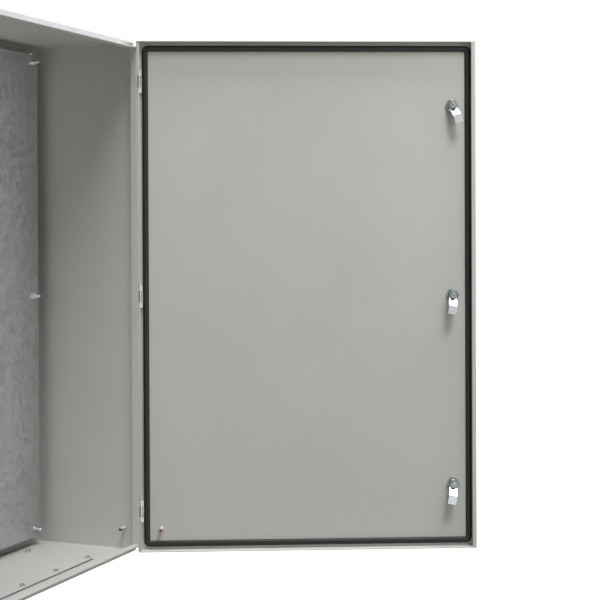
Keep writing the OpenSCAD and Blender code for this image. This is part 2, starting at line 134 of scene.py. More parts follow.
def filleted(corners, closed=False, steps=5):
    """A flat path through corners (x, y, r), each turned into an arc of radius r."""
    path = []
    count = len(corners)
    for i, (x, y, radius) in enumerate(corners):
        here = Vector((x, y))
        if radius == 0 or (not closed and i in (0, count - 1)):
            path.append((x, y))
            continue
        back = (Vector(corners[i - 1][:2]) - here).normalized()
        ahead = (Vector(corners[(i + 1) % count][:2]) - here).normalized()
        half = back.angle(ahead) / 2
        centre = here + (back + ahead).normalized() * (radius / math.sin(half))
        start = here + back * (radius / math.tan(half)) - centre
        end = here + ahead * (radius / math.tan(half)) - centre
        turn = math.pi - 2 * half
        for k in range(steps + 1):
            t = k / steps
            arm = (start * math.sin((1 - t) * turn) + end * math.sin(t * turn)) / math.sin(turn)
            path.append(tuple(centre + arm))
    return path


def rounded_loop(x0, x1, z0, z1, radius, v, steps=6):
    """A rounded rectangle at the distance v in front of the wall."""
    points = []
    corners = ((x1 - radius, z1 - radius), (x0 + radius, z1 - radius),
               (x0 + radius, z0 + radius), (x1 - radius, z0 + radius))
    for quarter, (cx, cz) in enumerate(corners):
        for k in range(steps + 1):
            angle = math.pi / 2 * (quarter + k / steps)
            points.append((cx + radius * math.cos(angle), -v, cz + radius * math.sin(angle)))
    return points


def lofted(rings, close=False, caps=False):
    """Points and faces of a skin over rings with equally many points."""
    count = len(rings[0])
    points = [point for ring in rings for point in ring]
    faces = []
    for i in range(len(rings) if close else len(rings) - 1):
        j = (i + 1) % len(rings)
        for k in range(count):
            m = (k + 1) % count
            faces.append((i * count + k, i * count + m, j * count + m, j * count + k))
    if caps:
        faces.append(tuple(reversed(range(count))))
        faces.append(tuple(range((len(rings) - 1) * count, len(rings) * count)))
    return points, faces


def piece(name, skins):
    """An object from skins (points, faces) in millimetres, with every closed skin facing out."""
    mesh = bpy.data.meshes.new(name)
    work = bmesh.new()
    for points, faces in skins:
        made = [work.verts.new(Vector(point) * MM) for point in points]
        for face in faces:
            work.faces.new([made[i] for i in face])
    bmesh.ops.remove_doubles(work, verts=work.verts, dist=1e-6)
    bmesh.ops.dissolve_degenerate(work, edges=work.edges, dist=1e-7)
    bmesh.ops.recalc_face_normals(work, faces=work.faces)
    work.to_mesh(mesh)
    work.free()
    obj = bpy.data.objects.new(name, mesh)
    bpy.context.scene.collection.objects.link(obj)
    return obj


def evaluated(obj):
    """Turns the object's modifiers into its mesh."""
    graph = bpy.context.evaluated_depsgraph_get()
    mesh = bpy.data.meshes.new_from_object(obj.evaluated_get(graph))
    obj.modifiers.clear()
    obj.data = mesh
    return obj


def combined(obj, skins, operation):
    """The object after a boolean with the closed skins, which don't overlap one another."""
    other = piece("other", skins)
    modifier = obj.modifiers.new("combined", "BOOLEAN")
    modifier.operation = operation
    modifier.solver = "EXACT"
    modifier.object = other
    evaluated(obj)
    bpy.data.objects.remove(other)
    return obj


def cut(obj, skins):
    """Takes the closed skins out of the object."""
    return combined(obj, skins, "DIFFERENCE")


def soften(obj, width, angle=30, segments=2):
    """Rounds the edges sharper than angle, as casting, tumbling or paint does."""
    modifier = obj.modifiers.new("soften", "BEVEL")
    modifier.width = width * MM
    modifier.segments = segments
    modifier.limit_method = "ANGLE"
    modifier.angle_limit = math.radians(angle)
    modifier.use_clamp_overlap = True
    return evaluated(obj)


def shade(obj, angle=35):
    """Smooth shading that stays flat across flat faces."""
    obj.data.polygons.foreach_set("use_smooth", [True] * len(obj.data.polygons))
    obj.data.set_sharp_from_angle(angle=math.radians(angle))
    weighted = obj.modifiers.new("weighted", "WEIGHTED_NORMAL")
    weighted.keep_sharp = True
    return evaluated(obj)


def block(x0, x1, v0, v1, z0, z1):
    """A box skin, where v is the distance in front of the wall."""
    return lofted([[(x0, -v0, z), (x1, -v0, z), (x1, -v1, z), (x0, -v1, z)] for z in (z0, z1)], caps=True)


def prism(centre, axis, radius, length, sides=40):
    """A round bar skin around centre, along the axis "X", "Y" or "Z"."""
    rings = []
    for end in (-length / 2, length / 2):
        ring = []
        for k in range(sides):
            angle = 2 * math.pi * k / sides
            flat = (radius * math.cos(angle), radius * math.sin(angle))
            offset = {"X": (end, *flat), "Y": (flat[0], end, flat[1]), "Z": (*flat, end)}[axis]
            ring.append(tuple(a + b for a, b in zip(centre, offset)))
        rings.append(ring)
    return lofted(rings, caps=True)


def revolved(path, sides=64, pitch=1.25, depth=0.7):
    """A skin from a closed path (r, z) or (r, z, True) turned around z. True marks a thread."""
    lows = [point[1] for point in path if len(point) == 3]
    rings = []
    for point in path:
        radius, z = point[:2]
        ring = []
        for k in range(sides):
            turn = k / sides
            r = radius
            if len(point) == 3:
                wave = abs((z / pitch - turn) % 1 - 0.5) * 2
                fade = min(1, (z - min(lows)) / pitch, (max(lows) - z) / pitch)
                # The stretched wave is cut off at both ends, which leaves flat crests and roots
                r -= depth * fade * min(1, max(0, wave * 1.3 - 0.15))
            ring.append((r * math.cos(2 * math.pi * turn), r * math.sin(2 * math.pi * turn), z))
        rings.append(ring)
    return lofted(rings, close=True)


def thread(radius, z0, z1, pitch):
    """The threaded stretch of a path for revolved, from z0 to z1."""
    steps_per_turn = 6
    steps = max(2, round(abs(z1 - z0) / pitch * steps_per_turn))
    return [(radius, z0 + (z1 - z0) * k / steps, True) for k in range(steps + 1)]


def hexagon(flats, z0, z1, bore=0.0, sides=72):
    """A hexagon skin with chamfered corners, and a bore with a small lead-in."""
    face_share = 0.965
    face_r = flats / 2 * face_share
    lead = 0.5 if bore else 0.0
    slope = math.tan(math.radians(28))
    profile = (("bore", z0 + lead), ("lead", z0), ("face", z0), ("corner", z0), ("corner", z1),
               ("face", z1), ("lead", z1), ("bore", z1 - lead))
    rings = []
    for kind, z in profile:
        ring = []
        for k in range(sides):
            angle = 2 * math.pi * k / sides
            corner = flats / 2 / math.cos(angle % (math.pi / 3) - math.pi / 6)
            radius = {"bore": bore, "lead": bore + lead, "face": face_r, "corner": corner}[kind]
            drop = (corner - face_r) * slope if kind == "corner" else 0
            height = z + drop if z == z0 else z - drop
            ring.append((radius * math.cos(angle), radius * math.sin(angle), height))
        rings.append(ring)
    return lofted(rings, close=True)


def copy_of(node, name, width, angle=30):
    """A copy of a CAD node's mesh with softened edges."""
    obj = bpy.data.objects.new(name, frame["nodes"][node].data.copy())
    obj.data.materials.clear()
    bpy.context.scene.collection.objects.link(obj)
    work = bmesh.new()
    work.from_mesh(obj.data)
    bmesh.ops.remove_doubles(work, verts=work.verts, dist=2e-6)
    bmesh.ops.dissolve_limit(work, angle_limit=math.radians(1), verts=work.verts, edges=work.edges)
    bmesh.ops.recalc_face_normals(work, faces=work.faces)
    work.to_mesh(obj.data)
    work.free()
    return soften(obj, width, angle)


# ---------------------------------------------------------------- materials

class Shader:
    """A short way to write a node material around one Principled BSDF."""

    def __init__(self, name):
        self.material = bpy.data.materials.new(name)
        self.material.use_nodes = True
        self.nodes = self.material.node_tree.nodes
        self.links = self.material.node_tree.links
        self.bsdf = self.nodes["Principled BSDF"]
        self.place = self.nodes.new("ShaderNodeTexCoord").outputs["Object"]

    def put(self, socket, value):
        """A fixed value on one of the shader's own sockets."""
        self.bsdf.inputs[socket].default_value = value

    def link(self, socket, output):
        """An output led to one of the shader's own sockets."""
        self.links.new(output, self.bsdf.inputs[socket])

    def scaled(self, size, stretch=(1, 1, 1)):
        """Object coordinates in which size millimetres are one unit, with finer units where
        stretch is above 1."""
        mapping = self.nodes.new("ShaderNodeMapping")
        mapping.inputs["Scale"].default_value = [s / (size * MM) for s in stretch]
        self.links.new(self.place, mapping.inputs["Vector"])
        return mapping.outputs["Vector"]

    def noise(self, size, detail=2.0, stretch=(1, 1, 1), distortion=0.0):
        """Noise whose features are about size millimetres wide."""
        node = self.nodes.new("ShaderNodeTexNoise")
        node.inputs["Scale"].default_value = 1.0
        node.inputs["Detail"].default_value = detail
        node.inputs["Distortion"].default_value = distortion
        self.links.new(self.scaled(size, stretch), node.inputs["Vector"])
        return node.outputs["Fac"]

    def cells(self, size, output="Distance"):
        """Voronoi cells about size millimetres wide."""
        node = self.nodes.new("ShaderNodeTexVoronoi")
        node.inputs["Scale"].default_value = 1.0
        self.links.new(self.scaled(size), node.inputs["Vector"])
        return node.outputs[output]

    def ramp(self, factor, *stops):
        """A colour ramp with stops (place, colour)."""
        node = self.nodes.new("ShaderNodeValToRGB")
        ramp = node.color_ramp
        while len(ramp.elements) < len(stops):
            ramp.elements.new(0.5)
        for element, (place, colour) in zip(ramp.elements, stops):
            element.position = place
            element.color = (*colour, 1) if hasattr(colour, "__len__") else (colour, colour, colour, 1)
        self.links.new(factor, node.inputs["Fac"])
        return node.outputs["Color"]

    def span(self, factor, low, high, start=0.3, end=0.7):
        """Maps a factor from start..end to low..high."""
        node = self.nodes.new("ShaderNodeMapRange")
        for socket, value in (("From Min", start), ("From Max", end), ("To Min", low), ("To Max", high)):
            node.inputs[socket].default_value = value
        self.links.new(factor, node.inputs["Value"])
        return node.outputs["Result"]

    def bump(self, *layers):
        """Stacks bumps (height output, strength, depth in millimetres) on the normal."""
        normal = None
        for height, strength, depth in layers:
            node = self.nodes.new("ShaderNodeBump")
            node.inputs["Strength"].default_value = strength
            node.inputs["Distance"].default_value = depth * MM
            self.links.new(height, node.inputs["Height"])
            if normal:
                self.links.new(normal, node.inputs["Normal"])
            normal = node.outputs["Normal"]
        self.link("Normal", normal)


def tint(colour, factor):
    """The colour, darker below a factor of 1 and lighter above it."""
    return tuple(min(1.0, c * factor) for c in colour)


def powder_coat(name, colour):
    """Fine-textured powder coat: a soft orange peel with a fine grain and faint cloudiness."""
    s = Shader(name)
    cloud = s.noise(170, detail=3)
    s.link("Base Color", s.ramp(cloud, (0.3, tint(colour, 0.975)), (0.7, tint(colour, 1.02))))
    s.link("Roughness", s.span(s.noise(6, detail=3), 0.40, 0.52))
    s.put("Specular IOR Level", 0.45)
    s.bump((s.noise(4.5, detail=2), 0.10, 0.10), (s.noise(0.9, detail=2), 0.10, 0.03))
    return s.material


def zinc_plate(name, colour, roughness=0.30, grain=0.5, dark_reach=0.0):
    """Bright electroplated zinc with faint cloudy passivation and fine handling marks. Within the
    given distance of the piece's origin the plating is darker, with a ragged edge."""
    s = Shader(name)
    cloud = s.noise(7, detail=4)
    plate = s.ramp(cloud, (0.3, tint(colour, 0.86)), (0.55, colour), (0.8, tint(colour, 1.1)))
    if dark_reach:
        # Darker plating within the given distance of the origin, with z counted at 0.8 and the edge made
        # ragged by noise
        flattened = s.nodes.new("ShaderNodeVectorMath")
        flattened.operation = "MULTIPLY"
        flattened.inputs[1].default_value = (1, 1, 0.8)
        s.links.new(s.place, flattened.inputs[0])
        distance = s.nodes.new("ShaderNodeVectorMath")
        distance.operation = "LENGTH"
        s.links.new(flattened.outputs["Vector"], distance.inputs[0])
        ragged_distance = s.nodes.new("ShaderNodeMath")
        ragged_distance.operation = "MULTIPLY_ADD"
        s.links.new(s.noise(4, detail=3), ragged_distance.inputs[0])
        ragged_distance.inputs[1].default_value = 3 * MM
        s.links.new(distance.outputs["Value"], ragged_distance.inputs[2])
        darkening = s.nodes.new("ShaderNodeMix")
        darkening.data_type = "RGBA"
        darkening.blend_type = "MULTIPLY"
        darkening.inputs["B"].default_value = (0.42, 0.45, 0.45, 1)
        s.links.new(s.span(ragged_distance.outputs["Value"], 1.0, 0.0, (dark_reach + 1) * MM, (dark_reach + 3) * MM),
                    darkening.inputs["Factor"])
        s.links.new(plate, darkening.inputs["A"])
        plate = darkening.outputs["Result"]
    s.link("Base Color", plate)
    s.link("Roughness", s.span(s.noise(2.5, detail=4), roughness - 0.07, roughness + 0.10))
    s.put("Metallic", 1.0)
    s.bump((s.noise(grain, detail=3), 0.12, 0.02), (s.noise(3, detail=2, stretch=(1, 1, 6)), 0.05, 0.02))
    return s.material


def galvanised(name, colour):
    """Hot-dip galvanised sheet with its spangle of crystals."""
    s = Shader(name)
    crystals = s.cells(11, "Color")
    grey = s.nodes.new("ShaderNodeRGBToBW")
    s.links.new(crystals, grey.inputs["Color"])
    s.link("Base Color", s.ramp(grey.outputs["Val"], (0.15, tint(colour, 0.93)), (0.5, colour),
                                (0.85, tint(colour, 1.05))))
    s.link("Roughness", s.span(grey.outputs["Val"], 0.40, 0.50, 0.2, 0.8))
    s.put("Metallic", 1.0)
    s.bump((s.noise(1.2, detail=3), 0.08, 0.03), (s.cells(11), 0.05, 0.05))
    return s.material


def cast_zinc(name, colour):
    """Zinc die casting: satin, with a fine sandy skin."""
    s = Shader(name)
    s.link("Base Color", s.ramp(s.noise(5, detail=4), (0.3, tint(colour, 0.88)), (0.7, tint(colour, 1.08))))
    s.link("Roughness", s.span(s.noise(1.5, detail=3), 0.34, 0.50))
    s.put("Metallic", 1.0)
    s.bump((s.noise(0.6, detail=3), 0.25, 0.03), (s.noise(4, detail=2), 0.10, 0.08))
    return s.material


def copper_plate(name):
    """Copper plate gone brown, with grey overspray of the paint towards its foot."""
    s = Shader(name)
    patches = s.noise(3.5, detail=5, distortion=0.6)
    copper = s.ramp(patches, (0.3, (0.07, 0.029, 0.014)), (0.5, (0.16, 0.066, 0.033)),
                    (0.72, (0.30, 0.15, 0.085)))
    split = s.nodes.new("ShaderNodeSeparateXYZ")
    s.links.new(s.place, split.inputs["Vector"])
    height = s.nodes.new("ShaderNodeMath")
    height.operation = "MULTIPLY_ADD"
    s.links.new(s.noise(4, detail=3), height.inputs[0])
    height.inputs[1].default_value = 8 * MM
    s.links.new(split.outputs["Z"], height.inputs[2])
    bare = s.span(height.outputs["Value"], 0.0, 1.0, 17 * MM, 22 * MM)
    mix = s.nodes.new("ShaderNodeMix")
    mix.data_type = "RGBA"
    s.links.new(bare, mix.inputs["Factor"])
    mix.inputs["A"].default_value = (*PAINT, 1)
    s.links.new(copper, mix.inputs["B"])
    s.link("Base Color", mix.outputs["Result"])
    s.link("Metallic", bare)
    s.link("Roughness", s.span(patches, 0.50, 0.36))
    s.put("Coat Weight", 0.5)
    s.put("Coat Roughness", 0.12)
    s.bump((s.noise(0.5, detail=3), 0.15, 0.02))
    return s.material


def foam(name, colour, pore=1.1):
    """Foamed polyurethane: a dull skin pitted with small pores."""
    s = Shader(name)
    s.link("Base Color", s.ramp(s.noise(9, detail=4), (0.3, tint(colour, 0.8)), (0.7, tint(colour, 1.25))))
    s.link("Roughness", s.span(s.noise(2.0, detail=3), 0.42, 0.60))
    s.put("Specular IOR Level", 0.35)
    pits = s.ramp(s.cells(pore), (0.1, 0.0), (0.42, 1.0))
    s.bump((s.noise(6, detail=3), 0.22, 0.30), (pits, 0.25, 0.08))
    return s.material


def rubber(name, colour):
    """Moulded sealing rubber with a faint bloom."""
    s = Shader(name)
    s.link("Base Color", s.ramp(s.noise(6, detail=4), (0.35, colour), (0.8, tint(colour, 1.8))))
    s.link("Roughness", s.span(s.noise(1.5), 0.55, 0.75))
    s.bump((s.noise(0.5, detail=2), 0.2, 0.03))
    return s.material


PAINT = (0.570, 0.566, 0.537)
ZINC = (0.44, 0.465, 0.475)
MATERIALS = {
    "body_paint": powder_coat("body_paint", PAINT),
    "door_paint": powder_coat("door_paint", PAINT),
    "mounting_plate_zinc": galvanised("mounting_plate_zinc", (0.58, 0.59, 0.60)),
    "fastener_zinc": zinc_plate("fastener_zinc", (0.58, 0.60, 0.62)),
    "gland_rubber": rubber("gland_rubber", (0.02, 0.02, 0.02)),
    "door_foam": foam("door_foam", (0.006, 0.006, 0.0055)),
    "stud_copper": copper_plate("stud_copper"),
    "hinge_zinc": cast_zinc("hinge_zinc", (0.50, 0.50, 0.48)),
    "lock_rubber": rubber("lock_rubber", (0.02, 0.02, 0.02)),
    "lock_diecast": cast_zinc("lock_diecast", (0.22, 0.245, 0.26)),
    "lock_steel": zinc_plate("lock_steel", ZINC, roughness=0.20, dark_reach=16.5),
}


# Which lamps reach a piece depends on whether it is on the body or on the door with its locks
pieces_on = {"body": [], "door": []}


def finish_piece(obj, body, slot, *nodes, angle=35):
    """Shades a piece, gives it its slot's material and puts it on its body in place of its nodes."""
    shade(obj, angle)
    obj.data.materials.clear()
    obj.data.materials.append(MATERIALS[slot])
    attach(obj, body)
    pieces_on["body" if body == "enclosure" else "door"].append(obj)
    if nodes:
        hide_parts(*nodes)
    return obj


# ---------------------------------------------------------------- body

def body_shell():
    """The folded and welded body, from the back panel out over the step and the rim."""
    bend = 3.0
    flange = 12.0
    rim_r = 2.3
    inner_w = STEP_W + RIM_W
    corners = [
        (flange, 0, 0), (0, 0, bend), (0, STEP_AT, bend), (STEP_W, STEP_AT, bend - BODY_T),
        (STEP_W, RIM_AT, rim_r), (inner_w, RIM_AT, rim_r), (inner_w, RIM_AT - RIM_LEG, 0.5),
        (inner_w - BODY_T, RIM_AT - RIM_LEG, 0.5), (inner_w - BODY_T, RIM_AT - BODY_T, rim_r - BODY_T),
        (STEP_W + BODY_T, RIM_AT - BODY_T, rim_r - BODY_T), (STEP_W + BODY_T, STEP_AT - BODY_T, bend),
        (BODY_T, STEP_AT - BODY_T, bend - BODY_T), (BODY_T, BODY_T, bend - BODY_T), (flange, BODY_T, 0),
    ]
    rings = []
    for inset, v in filleted(corners):
        widened = inset + (HINGE_STEP_W - STEP_W if inset > STEP_W / 2 and v > flange else 0)
        radius = max(bend - inset, 0.4)
        rings.append(rounded_loop(-HALF_W + inset, HALF_W - widened, -HALF_H + inset, HALF_H - inset,
                                  radius, v))
    shell = piece("body_shell", [lofted(rings, caps=True)])
    through = 8.0
    margin = 3.0
    wall_x = HALF_W - WALL_HOLE_INSET
    wall_z = HALF_H - WALL_HOLE_INSET
    holes = [block(-GLAND_HALF_W, GLAND_HALF_W, *GLAND_FROM_WALL, -HALF_H - margin, -HALF_H + margin)]
    holes += [prism((x, 0, z), "Y", WALL_HOLE_R, through)
              for x in (-wall_x, wall_x) for z in (-wall_z, wall_z)]
    holes += [prism((x, -v, -HALF_H), "Z", GLAND_SCREW_HOLE_R, through) for x, v in GLAND_SCREWS]
    holes += [prism((HINGE_SCREW_X, -STEP_AT, z), "Y", HINGE_SCREW_HOLE_R, through)
              for z in HINGE_SCREW_Z]
    return cut(shell, holes)


finish_piece(body_shell(), "enclosure", "body_paint",
             "hinge_side_wall", "lock_side_wall", "top_wall", "bottom_wall", "back_panel")


# ---------------------------------------------------------------- door

def lip_bar(edge, width, side):
    """The foot of an upright fold, with the lip that turns inwards from it, along the door's height."""
    foot = 3.0
    profile = filleted([(0, edge + foot, 0), (0, edge, 2.6), (width, edge, 0.6), (width, edge + DOOR_T, 0.6),
                        (DOOR_T, edge + DOOR_T, 0.6), (DOOR_T, edge + foot, 0)], steps=4)
    reach = HALF_H - DOOR_T + 0.5
    return lofted([[(side * (HALF_W - x), -v, z) for x, v in profile] for z in (-reach, reach)], caps=True)


def door_pan():
    """The door sheet with its folds and lips, notched at the hinges and bored for the locks."""
    bend = 2.8
    corner_r = 2.4
    apron = 40.0
    corners = [
        (apron, DOOR_FRONT, 0), (0, DOOR_FRONT, bend), (0, FOLD_EDGE, 0.5), (DOOR_T, FOLD_EDGE, 0.5),
        (DOOR_T, DOOR_IN, bend - DOOR_T + 0.4), (apron, DOOR_IN, 0),
    ]
    rings = [rounded_loop(-HALF_W + inset, HALF_W - inset, -HALF_H + inset, HALF_H - inset,
                          max(corner_r - inset, 0.5), v)
             for inset, v in filleted(corners)]
    pan = piece("door_pan", [lofted(rings, caps=True)])
    inner = HALF_W - DOOR_T
    reach = HALF_H - DOOR_T
    cut(pan, [block(-HALF_W - 3, -inner + 1, FOLD_EDGE - 3, FOLD_EDGE + 3, -reach, reach),
              block(inner - 1, HALF_W + 3, FOLD_EDGE - 3, HINGE_FOLD_EDGE + 3, -reach, reach)])
    combined(pan, [lip_bar(FOLD_EDGE, LIP_W, -1), lip_bar(HINGE_FOLD_EDGE, HINGE_LIP_W, 1)], "UNION")
    fold_notch = 14.5
    lip_notch = LEAF_H / 2 + 1.5
    notch_end = HINGE_AT + 7.2
    cut(pan, [block(inner - 1.5, HALF_W + 4, FOLD_EDGE - 4, notch_end, z - fold_notch, z + fold_notch)
              for z in HINGE_Z.values()])
    cut(pan, [block(HALF_W - HINGE_LIP_W - 2, inner, FOLD_EDGE - 5, HINGE_AT, z - lip_notch, z + lip_notch)
              for z in HINGE_Z.values()])
    lock_z = HALF_H - LOCK_END_INSET
    through = 12.0
    cut(pan, [prism((LOCK_INSET - HALF_W, -DOOR_IN, z), "Y", LOCK_HOLE_R, through)
              for z in (-lock_z, 0, lock_z)])
    pan.matrix_world = DOOR
    return pan


def door_seal():
    """The foamed seal: one domed bead laid around the door, with its start and end run together."""
    width = 14.0
    height = 6.5
    corner = 14.0
    x0 = -HALF_W + SEAL_MARGIN
    x1 = HALF_W - HINGE_SEAL_MARGIN
    z1 = HALF_H - SEAL_MARGIN
    bulge = 2.6
    steps = 16
    rings = []
    for k in range(steps + 1):
        angle = math.pi * k / steps
        c, s = math.cos(angle), math.sin(angle)
        inset = width / 2 * (1 - math.copysign(abs(c) ** (2 / bulge), c))
        rise = height * abs(s) ** (2 / bulge)
        radius = max(corner - inset, 0.4)
        rings.append(rounded_loop(x0 + inset, x1 - inset, -z1 + inset, z1 - inset, radius, DOOR_IN - rise,
                                  steps=8))
    bead = piece("door_foam_seal", [lofted(rings, close=True)])
    bead.matrix_world = DOOR
    return bead


finish_piece(door_pan(), "door", "door_paint", "door_panel")
finish_piece(door_seal(), "door", "door_foam", "door_seal", angle=60)


# ---------------------------------------------------------------- locks

def lock_place(place):
    """The lock's axis at rest, with z inwards from the door sheet's inner face and y down."""
    closed = DOOR.inverted() @ Vector(joints["lock_turn_" + place]["pos_m"])
    return DOOR @ Matrix.Translation(closed) @ Matrix.Rotation(math.radians(-90), 4, "X")


def cam_place(place):
    """The same axis turned with its cam, which lies along y."""
    lean = 90 - joints["lock_turn_" + place]["range_deg"][1]
    return lock_place(place) @ Matrix.Rotation(math.radians(lean), 4, "Z")


CAM_LEVEL = 12.6
CAM_TIP_LEVEL = 29.0
CAM_T = 3.0
CAM_L = 45.0
CAM_HALF_W = 10.0
CAM_HOLE_HALF_W = 4.1
CAM_WASHER_T = 1.5


def lock_cam():
    """The stamped cam: round at the hub, bent away from the door, with a flat end."""
    corner = 3.0
    edge = 0.45
    mid = CAM_T / 2
    bend_start, bend_end = 9.4, 25.4
    line = filleted([(-CAM_HALF_W, CAM_LEVEL + mid, 0), (bend_start, CAM_LEVEL + mid, 3.2),
                     (bend_end, CAM_TIP_LEVEL + mid, 3.2), (CAM_L, CAM_TIP_LEVEL + mid, 0)], steps=6)
    stations = []
    for (y0, z0), (y1, z1) in zip(line, line[1:]):
        parts = 10 if y0 == -CAM_HALF_W else 6 if y1 == CAM_L else 1
        stations += [(y0 + (y1 - y0) * k / parts, z0 + (z1 - z0) * k / parts) for k in range(parts)]
    hub = [(-CAM_HALF_W * math.cos(math.radians(a)), CAM_LEVEL + mid) for a in range(3, 90, 8)]
    stations = hub + [s for s in stations if s[0] > 0.5]
    stations += [(CAM_L - corner + corner * math.sin(math.radians(a)), CAM_TIP_LEVEL + mid)
                 for a in (20, 40, 60, 75, 87)]
    stations.sort()
    rings = []
    for i, (y, z) in enumerate(stations):
        before, after = stations[max(i - 1, 0)], stations[min(i + 1, len(stations) - 1)]
        along = Vector((after[0] - before[0], after[1] - before[1])).normalized()
        half = CAM_HALF_W
        if y < 0:
            half = math.sqrt(max(CAM_HALF_W ** 2 - y ** 2, 0.05))
        elif y > CAM_L - corner:
            half = CAM_HALF_W - corner + math.sqrt(max(corner ** 2 - (y - CAM_L + corner) ** 2, 0))
        section = filleted([(half, mid, edge), (-half, mid, edge), (-half, -mid, edge), (half, -mid, edge)],
                           closed=True, steps=3)
        rings.append([(x, y - along.y * t, z + along.x * t) for x, t in section])
    cam = piece("lock_cam", [lofted(rings, caps=True)])
    hole = (-CAM_HOLE_HALF_W, CAM_HOLE_HALF_W)
    below, above = 5.0, 20.0
    return cut(cam, [block(*hole, *hole, below, above)])


def lock_housing():
    """Flange outside the door and threaded sleeve through it."""
    flange = filleted([(8.08, -2.6, 0), (8.08, -6, 0.5), (13.5, -6, 1.1), (13.5, -3, 0.3), (10, -3, 0)])
    path = flange + thread(10.0, -0.5, 11.4, 1.5) + [(9.3, 12), (7.6, 12), (7.08, 11.5), (7.08, -2.6)]
    return piece("lock_housing", [revolved(path, pitch=1.5, depth=0.75)])


def lock_nut():
    """The flat hexagon nut on the sleeve, inside the door."""
    return piece("lock_nut", [hexagon(flats=27, z0=0, z1=5, bore=10.05)])


def lock_washer():
    """The rubber washer between the flange and the door."""
    path = filleted([(10.05, -3, 0.2), (13, -3, 0.3), (13, -2, 0.3), (10.05, -2, 0.2)], closed=True, steps=2)
    return piece("lock_washer", [revolved(path)])


def cam_washer():
    """The washer between the cam and its screw."""
    base = CAM_LEVEL + CAM_T
    top = base + CAM_WASHER_T
    path = filleted([(3.15, base, 0.2), (8.5, base, 0.25), (8.5, top, 0.45), (3.15, top, 0.3)],
                    closed=True, steps=3)
    return piece("cam_washer", [revolved(path)])


def socket_screw(name, head_d, head_h, shank_d, shank_l, socket, depth):
    """A screw with its head on z = 0 and a hexagon socket in its domed top."""
    r = head_d / 2
    head = filleted([(shank_d / 2, 0, 0), (r, 0, 0.25), (r, head_h, 0.9), (0, head_h, 0)], steps=4)
    chamfer = 0.5
    path = head + [(0, -shank_l), (shank_d / 2 - chamfer, -shank_l), (shank_d / 2, chamfer - shank_l)]
    screw = piece(name, [revolved(path)])
    corner_r = socket / math.sqrt(3)
    ring = [(corner_r * math.cos(math.radians(60 * k)), corner_r * math.sin(math.radians(60 * k)))
            for k in range(6)]
    bottom = head_h - depth
    return cut(screw, [lofted([[(x, y, z) for x, y in ring] for z in (bottom, head_h + 1)], caps=True)])


def placed(master, name, matrix):
    """Another object with the master's mesh, at a matrix."""
    obj = bpy.data.objects.new(name, master.data)
    bpy.context.scene.collection.objects.link(obj)
    obj.matrix_world = matrix
    return obj


def repeated(make, slot, places):
    """Makes a lock's piece once and sets a copy at each place (name, body, matrix, node)."""
    master = make()
    shade(master)
    master.data.materials.clear()
    master.data.materials.append(MATERIALS[slot])
    for name, body, matrix, node in places:
        obj = placed(master, name, matrix)
        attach(obj, body)
        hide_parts(node)
        pieces_on["door"].append(obj)
    bpy.data.objects.remove(master)


def cam_screw():
    """The screw in the middle of the cam, on its washer."""
    screw = socket_screw("cam_screw", head_d=11, head_h=3.6, shank_d=5.9, shank_l=12, socket=4, depth=2.4)
    screw.data.transform(Matrix.Translation((0, 0, (CAM_LEVEL + CAM_T + CAM_WASHER_T) * MM)))
    return screw


for make, slot, turning in ((lock_housing, "lock_diecast", False), (lock_nut, "lock_steel", False),
                            (lock_washer, "lock_rubber", False), (lock_cam, "lock_steel", True),
                            (cam_washer, "lock_steel", True), (cam_screw, "lock_steel", True)):
    kind = make.__name__
    repeated(make, slot, [
        (f"{kind}_{place}_detail", "lock_" + place if turning else "door",
         cam_place(place) if turning else lock_place(place), f"{kind}_{place}")
        for place in PLACES])

for place in PLACES:
    finish_piece(copy_of("lock_insert_" + place, f"lock_insert_{place}_detail", width=0.15),
                 "lock_" + place, "lock_diecast", "lock_insert_" + place)


# ---------------------------------------------------------------- hinges

for place in PLACES:
    finish_piece(copy_of("hinge_body_leaf_" + place, f"hinge_body_leaf_{place}_cast", width=0.4),
                 "enclosure", "hinge_zinc", "hinge_body_leaf_" + place)
    finish_piece(copy_of("hinge_door_leaf_" + place, f"hinge_door_leaf_{place}_cast", width=0.4),
                 "door", "hinge_zinc", "hinge_door_leaf_" + place)
    finish_piece(copy_of("hinge_pin_" + place, f"hinge_pin_{place}_turned", width=0.12, angle=40),
                 "door", "fastener_zinc", "hinge_pin_" + place)


# ---------------------------------------------------------------- studs, screws, plates

def joined(name, master, matrices):
    """One object that holds the master's mesh at each of the matrices."""
    work = bmesh.new()
    for matrix in matrices:
        start = len(work.verts)
        work.from_mesh(master.data)
        work.verts.ensure_lookup_table()
        bmesh.ops.transform(work, matrix=matrix, verts=work.verts[start:])
    mesh = bpy.data.meshes.new(name)
    work.to_mesh(mesh)
    work.free()
    bpy.data.objects.remove(master)
    obj = bpy.data.objects.new(name, mesh)
    bpy.context.scene.collection.objects.link(obj)
    return obj


def at(x, v, z, turn=0, axis="X"):
    """A place in front of the wall, in millimetres, with a turn in degrees."""
    return Matrix.Translation(Vector((x, -v, z)) * MM) @ Matrix.Rotation(math.radians(turn), 4, axis)


def earth_stud(name):
    """The welded earth stud, standing up along z."""
    collar = filleted([(0, 0, 0), (5.5, 0, 0), (5.5, 1.5, 0.5), (4.0, 1.5, 0)], steps=3)
    path = collar + thread(4.0, 2.6, 20.9, 1.25) + [(3.1, 22), (0, 22)]
    return piece(name, [revolved(path, sides=48)])


def plate_stud():
    """A stud behind the mounting plate: shoulder, then thread."""
    shoulder = filleted([(0, 1.5, 0), (8, 1.5, 0), (8, 21.5, 0.6), (4.0, 21.5, 0)], steps=3)
    path = shoulder + thread(4.0, 24.8, 39.6, 1.25) + [(3.2, 40.5), (0, 40.5)]
    return piece("plate_stud", [revolved(path, sides=48)])


def flange_nut():
    """A hexagon nut with a flange."""
    flange = revolved(filleted([(4.05, 0, 0), (9, 0, 0.4), (9, 1.5, 0.5), (4.05, 1.5, 0)], steps=3))
    return piece("flange_nut", [flange, hexagon(flats=13, z0=1.5, z1=8, bore=4.05)])


